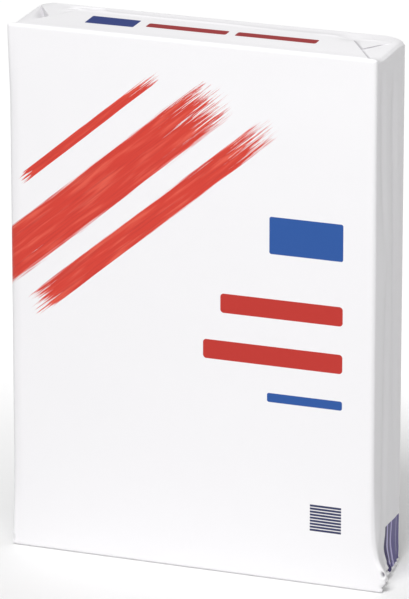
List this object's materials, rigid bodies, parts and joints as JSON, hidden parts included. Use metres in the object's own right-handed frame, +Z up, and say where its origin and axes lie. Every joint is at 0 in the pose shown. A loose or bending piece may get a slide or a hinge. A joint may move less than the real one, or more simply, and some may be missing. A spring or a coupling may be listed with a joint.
{
  "type": "ream of paper",
  "caption": "Sealed pack of A4 copy paper in a white printed wrapper with envelope-folded ends, standing on one short end.",
  "frame": {"origin": "under the middle of the pack, on the surface that it stands on", "axes": "+Z up the long side of the sheets, +Y from the front panel to the back panel through the stack, +X to the right of the front panel"},
  "size_m": [0.218, 0.0492, 0.3018],
  "materials": {
    "wrapper": "smooth white coated paper with a faint sheen, with flat printed fields in red and blue"
  },
  "bodies": {
    "root": {"wrapped_ream": "wrapper"}
  },
  "joints": []
}
